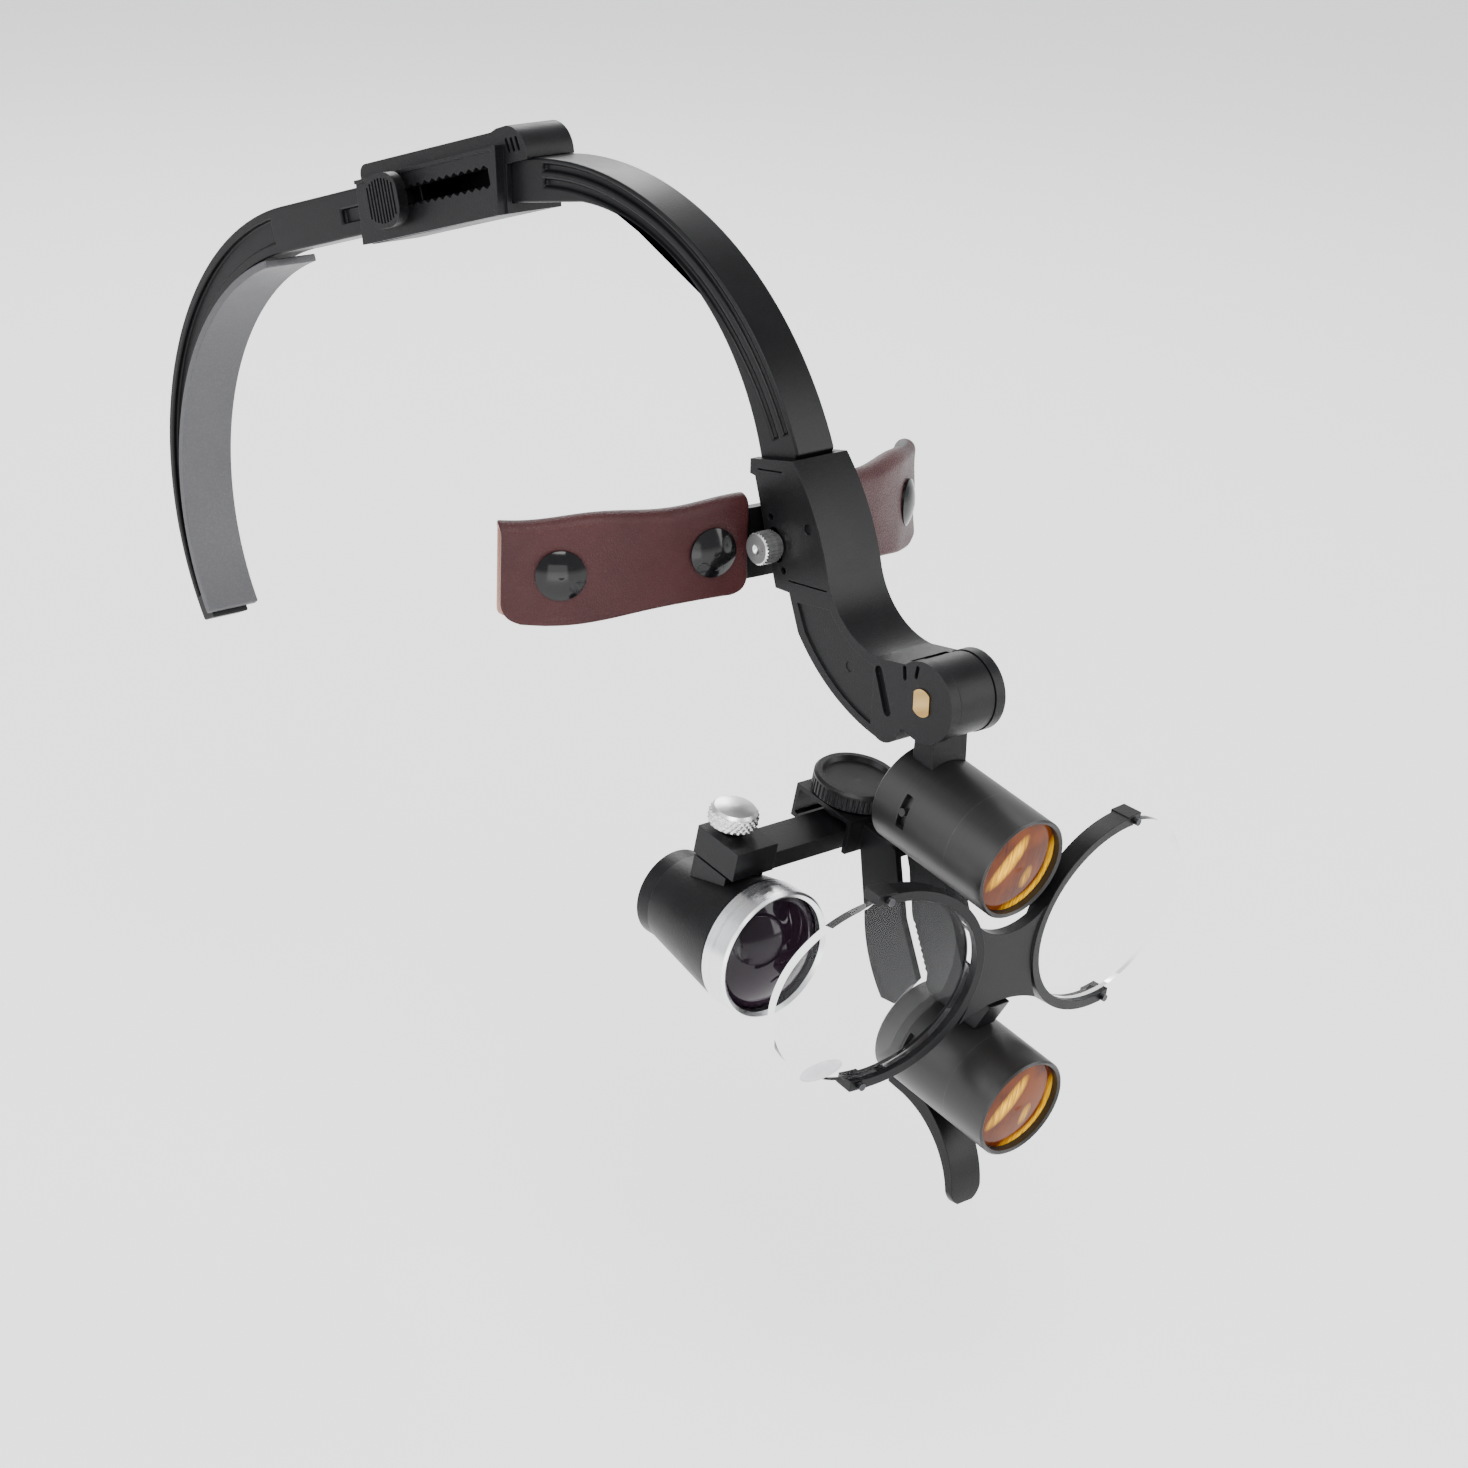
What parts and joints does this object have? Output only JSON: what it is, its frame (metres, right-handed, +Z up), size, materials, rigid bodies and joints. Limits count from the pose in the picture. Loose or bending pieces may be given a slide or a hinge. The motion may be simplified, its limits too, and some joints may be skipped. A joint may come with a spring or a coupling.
{
  "type": "head visor magnifier",
  "caption": "Overhead-band magnifier visor with a leather forehead pad, flip-up carrier, stacked amber-fronted barrels, clip lenses and a side loupe",
  "frame": {"origin": "centre of the forehead pad's bearing arc, on the mid-plane of the head, where the pad would touch the forehead", "axes": "+Z up, -Y is the way the wearer faces, +X is the wearer's left"},
  "size_m": [0.1122, 0.2936, 0.1924],
  "materials": {
    "band_plastic": "satin black moulded nylon",
    "housing_plastic": "fine-textured black moulded plastic",
    "knob_plastic": "black turned plastic with a straight knurl",
    "carrier_black": "black powder coat",
    "anodised_black": "satin black anodised turned aluminium",
    "brass": "plain machined brass",
    "bright_steel": "bright nickel-plated steel",
    "dark_steel": "blackened steel",
    "bright_aluminium": "polished turned aluminium",
    "oxblood_leather": "oxblood finished leather with a raw suede edge",
    "soft_lining": "soft dark grey lining",
    "snap_gloss": "gloss black snap caps",
    "clear_glass": "clear polished",
    "coated_glass": "dark purple anti-reflection coating",
    "amber_glass": "amber coated, slightly convex"
  },
  "bodies": {
    "headband": {"front_band": "band_plastic", "crown_housing": "housing_plastic", "front_bracket": "housing_plastic", "hinge_axle": "brass", "hinge_washers": "brass"},
    "rear_arm": {"rear_band": "band_plastic", "rear_pad": "soft_lining"},
    "button": {"lock_button": "housing_plastic"},
    "forehead_pad": {"pad_strip": "band_plastic", "right_sleeve": "oxblood_leather", "left_sleeve": "oxblood_leather", "snap_caps": "snap_gloss"},
    "pad_screw": {"pad_thumbscrew": "bright_steel"},
    "carrier": {"hinge_knuckle": "housing_plastic", "upper_bezel": "anodised_black", "upper_objective": "amber_glass", "upper_tube": "anodised_black", "lower_bezel": "anodised_black", "lower_objective": "amber_glass", "lower_tube": "anodised_black", "bar_channel": "carrier_black", "carrier_web": "carrier_black", "bridge_block": "carrier_black", "flip_handle": "carrier_black", "right_lens": "clear_glass", "left_lens": "clear_glass", "lens_bridge": "carrier_black", "rim_screws": "dark_steel"},
    "upper_focus": {"upper_focus_sleeve": "anodised_black", "upper_eyepiece": "clear_glass"},
    "lower_focus": {"lower_focus_sleeve": "anodised_black", "lower_eyepiece": "clear_glass"},
    "knob": {"clamp_knob": "knob_plastic"},
    "bar": {"pd_bar": "carrier_black"},
    "loupe": {"loupe_ring": "bright_aluminium", "loupe_cone": "housing_plastic", "loupe_objective": "coated_glass", "loupe_eyepiece": "clear_glass", "loupe_saddle": "housing_plastic"},
    "loupe_screw": {"loupe_thumbscrew": "bright_steel"}
  },
  "joints": [
    {"name": "size_adjust", "type": "slide", "parent": "headband", "child": "rear_arm", "axis": [0, -0.9521, 0.3057], "range_m": [0, 0.022]},
    {"name": "button_press", "type": "slide", "parent": "rear_arm", "child": "button", "axis": [1, 0, 0], "range_m": [0, 0.0008], "stiffness_N_per_m": 900, "springref_m": -0.001},
    {"name": "pad_tilt", "type": "hinge", "parent": "headband", "child": "forehead_pad", "pos_m": [0, -0.0092, 0.0015], "axis": [1, 0, 0], "range_deg": [-6, 6]},
    {"name": "pad_screw_turn", "type": "hinge", "parent": "headband", "child": "pad_screw", "pos_m": [-0.008, -0.0092, 0.0015], "axis": [1, 0, 0], "continuous": true},
    {"name": "flip_up", "type": "hinge", "parent": "headband", "child": "carrier", "pos_m": [0, -0.052, -0.019], "axis": [-1, 0, 0], "range_deg": [0, 80]},
    {"name": "upper_focus_turn", "type": "hinge", "parent": "carrier", "child": "upper_focus", "pos_m": [0, -0.0741, -0.0478], "axis": [0, 0.9763, 0.2164], "range_deg": [-11, 11]},
    {"name": "lower_focus_turn", "type": "hinge", "parent": "carrier", "child": "lower_focus", "pos_m": [0, -0.078, -0.0965], "axis": [0, 0.9763, 0.2164], "range_deg": [-11, 11]},
    {"name": "knob_turn", "type": "hinge", "parent": "carrier", "child": "knob", "pos_m": [0, -0.0271, -0.047], "axis": [0, -0.2164, 0.9763], "continuous": true},
    {"name": "bar_slide", "type": "slide", "parent": "carrier", "child": "bar", "axis": [1, 0, 0], "range_m": [-0.004, 0.002]},
    {"name": "loupe_aim", "type": "hinge", "parent": "bar", "child": "loupe", "pos_m": [-0.031, -0.0256, -0.0467], "axis": [0, -0.2164, 0.9763], "range_deg": [-6, 6]},
    {"name": "loupe_screw_turn", "type": "hinge", "parent": "bar", "child": "loupe_screw", "pos_m": [-0.031, -0.0256, -0.0467], "axis": [0, -0.2164, 0.9763], "continuous": true}
  ]
}
